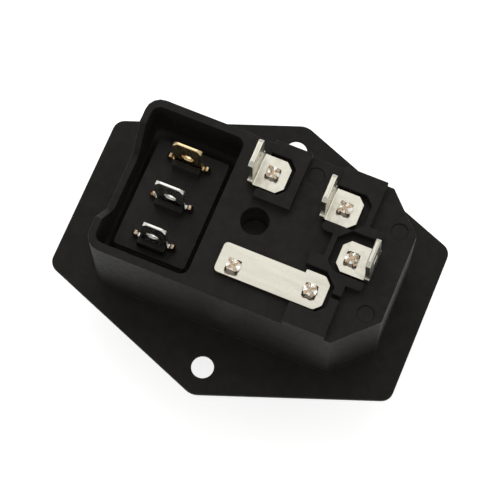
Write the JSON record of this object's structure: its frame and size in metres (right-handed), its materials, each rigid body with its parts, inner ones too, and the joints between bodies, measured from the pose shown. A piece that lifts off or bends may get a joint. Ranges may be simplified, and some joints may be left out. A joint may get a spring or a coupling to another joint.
{
  "type": "power entry module",
  "caption": "Panel-mount mains power entry module: a male inlet, a slide-in fuse drawer and a rocker switch in one flanged housing, with flat tabs for the wiring at the back.",
  "frame": {"origin": "centre of the line between both screw holes, on the flange face that meets the panel", "axes": "+X along the flange towards the inlet end, +Y along the line through the screw holes, +Z out of the back towards the wiring side"},
  "size_m": [0.0598, 0.0492, 0.035],
  "materials": {
    "body_plastic": "fine matt near-black moulding",
    "switch_plastic": "fine matt black moulding",
    "mark_white": "white",
    "tinned_sheet": "tin-plated sheet, satin",
    "brass": "bare brass",
    "nickel": "nickel-plated",
    "spring_steel": "drawn wire",
    "glass": "clear tube"
  },
  "bodies": {
    "base": {"housing": "body_plastic", "line_pin": "nickel", "neutral_pin": "nickel", "earth_pin": "nickel", "fused_terminal": "tinned_sheet", "neutral_terminal": "tinned_sheet", "earth_terminal": "tinned_sheet", "link_plate": "tinned_sheet", "line_fuse_contact": "nickel", "load_fuse_contact": "nickel", "switch_body": "switch_plastic", "switch_tab_a": "brass", "switch_tab_common": "tinned_sheet", "switch_tab_b": "tinned_sheet"},
    "rocker": {"rocker": "switch_plastic", "mark_on": "mark_white", "mark_off": "mark_white", "plunger": "mark_white", "plunger_spring": "spring_steel"},
    "lever": {"contact_lever": "brass"},
    "drawer": {"fuse_drawer": "body_plastic", "fuse_glass": "glass", "fuse_cap_a": "nickel", "fuse_cap_b": "nickel", "fuse_wire": "nickel", "spare_glass": "glass", "spare_cap_a": "nickel", "spare_cap_b": "nickel", "spare_wire": "nickel"}
  },
  "joints": [
    {"name": "rocker_tilt", "type": "hinge", "parent": "base", "child": "rocker", "pos_m": [-0.0134, 0, -0.0026], "axis": [-1, 0, 0], "range_deg": [0, 22]},
    {"name": "lever_tilt", "type": "hinge", "parent": "base", "child": "lever", "pos_m": [-0.0134, 0, 0.0046], "axis": [1, 0, 0], "range_deg": [0, 16]},
    {"name": "drawer_slide", "type": "slide", "parent": "base", "child": "drawer", "axis": [0, 0, -1], "range_m": [0, 0.013]}
  ],
  "couplings": [
    {"joint": "lever_tilt", "follows": "rocker_tilt", "ratio": 0.72727}
  ]
}
